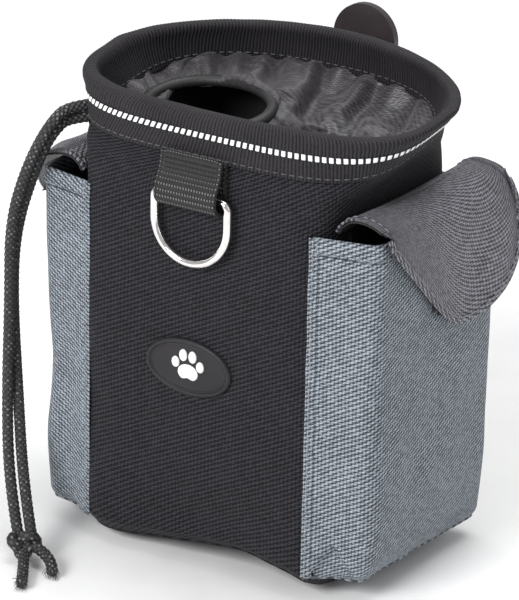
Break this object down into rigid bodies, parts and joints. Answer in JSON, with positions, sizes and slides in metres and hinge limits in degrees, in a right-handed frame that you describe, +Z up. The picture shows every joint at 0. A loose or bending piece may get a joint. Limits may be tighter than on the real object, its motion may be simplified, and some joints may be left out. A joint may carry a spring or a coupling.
{
  "type": "treat pouch",
  "caption": "Soft belt-worn treat pouch with a hooped oval mouth, drawstring collar, flapped side pockets, D-ring tab and spring belt clip.",
  "frame": {"origin": "middle of the base, on the surface that the pouch stands on", "axes": "+Z up through the mouth, -Y out of the front panel, +X to the right as seen from the front"},
  "size_m": [0.1767, 0.1458, 0.182],
  "materials": {
    "body_cloth": "matt 600 denier polyester",
    "pocket_cloth": "matt two-tone polyester canvas",
    "lining_cloth": "coated nylon",
    "collar_nylon": "thin soft nylon",
    "ribbed_tape": "ribbed grosgrain",
    "webbing": "ribbed polyester webbing",
    "cord": "braided polyester",
    "fastener": "hook and loop tape",
    "reflective_thread": "reflective",
    "hoop_plastic": null,
    "clip_plastic": "moulded acetal",
    "badge_rubber": "moulded rubber",
    "emblem_rubber": "moulded rubber",
    "ring_chrome": "polished",
    "pin_steel": null,
    "eyelet_metal": "black enamel"
  },
  "bodies": {
    "pouch": {"front_panel": "body_cloth", "back_panel": "body_cloth", "base_panel": "body_cloth", "lining_wall": "lining_cloth", "lining_base": "lining_cloth", "rim_hoop": "hoop_plastic", "rim_tape": "ribbed_tape", "reflective_stripe": "reflective_thread", "cord_eyelet": "eyelet_metal", "drawstring_collar": "collar_nylon", "collar_hem": "collar_nylon", "drawcord_hem_loop": "cord", "drawcord_strand_a": "cord", "drawcord_strand_b": "cord", "drawcord_knot": "cord", "drawcord_tail_a": "cord", "drawcord_tail_b": "cord", "d_ring_tab": "webbing", "badge": "badge_rubber", "badge_emblem": "emblem_rubber", "clip_patch": "webbing", "clip_base": "clip_plastic", "clip_pin": "pin_steel", "clip_spring": "pin_steel", "clip_rivets": "pin_steel", "left_pocket_panel": "pocket_cloth", "left_pocket_base": "pocket_cloth", "left_pocket_mouth_hem": "pocket_cloth", "left_pocket_loop_tape": "fastener", "right_pocket_panel": "pocket_cloth", "right_pocket_base": "pocket_cloth", "right_pocket_mouth_hem": "pocket_cloth", "right_pocket_loop_tape": "fastener"},
    "d_ring": {"d_ring": "ring_chrome"},
    "clip_lever": {"clip_lever": "clip_plastic"},
    "left_flap_top": {"left_flap_top": "pocket_cloth", "left_flap_top_lining": "lining_cloth"},
    "left_flap_tongue": {"left_flap_tongue": "pocket_cloth", "left_flap_tongue_lining": "lining_cloth", "left_flap_hook_tape": "fastener"},
    "right_flap_top": {"right_flap_top": "pocket_cloth", "right_flap_top_lining": "lining_cloth"},
    "right_flap_tongue": {"right_flap_tongue": "pocket_cloth", "right_flap_tongue_lining": "lining_cloth", "right_flap_hook_tape": "fastener"}
  },
  "joints": [
    {"name": "d_ring_swing", "type": "hinge", "parent": "pouch", "child": "d_ring", "pos_m": [0.0008, -0.04915, 0.1385], "axis": [-1, 0, 0], "range_deg": [0, 150]},
    {"name": "clip_lever_press", "type": "hinge", "parent": "pouch", "child": "clip_lever", "pos_m": [0.0055, 0.0469, 0.15], "axis": [1, 0, 0], "range_deg": [0, 14], "stiffness_Nm_per_rad": 0.4, "springref_deg": -5.73},
    {"name": "left_flap_lift", "type": "hinge", "parent": "pouch", "child": "left_flap_top", "pos_m": [-0.0519, 0, 0.1344], "axis": [0, 1, 0], "range_deg": [0, 34]},
    {"name": "left_flap_fold", "type": "hinge", "parent": "left_flap_top", "child": "left_flap_tongue", "pos_m": [-0.07115, 0, 0.1355], "axis": [0, 1, 0], "range_deg": [-38, 60]},
    {"name": "right_flap_lift", "type": "hinge", "parent": "pouch", "child": "right_flap_top", "pos_m": [0.0519, 0, 0.1344], "axis": [0, -1, 0], "range_deg": [0, 28]},
    {"name": "right_flap_fold", "type": "hinge", "parent": "right_flap_top", "child": "right_flap_tongue", "pos_m": [0.07115, 0, 0.1355], "axis": [0, -1, 0], "range_deg": [0, 90]}
  ]
}
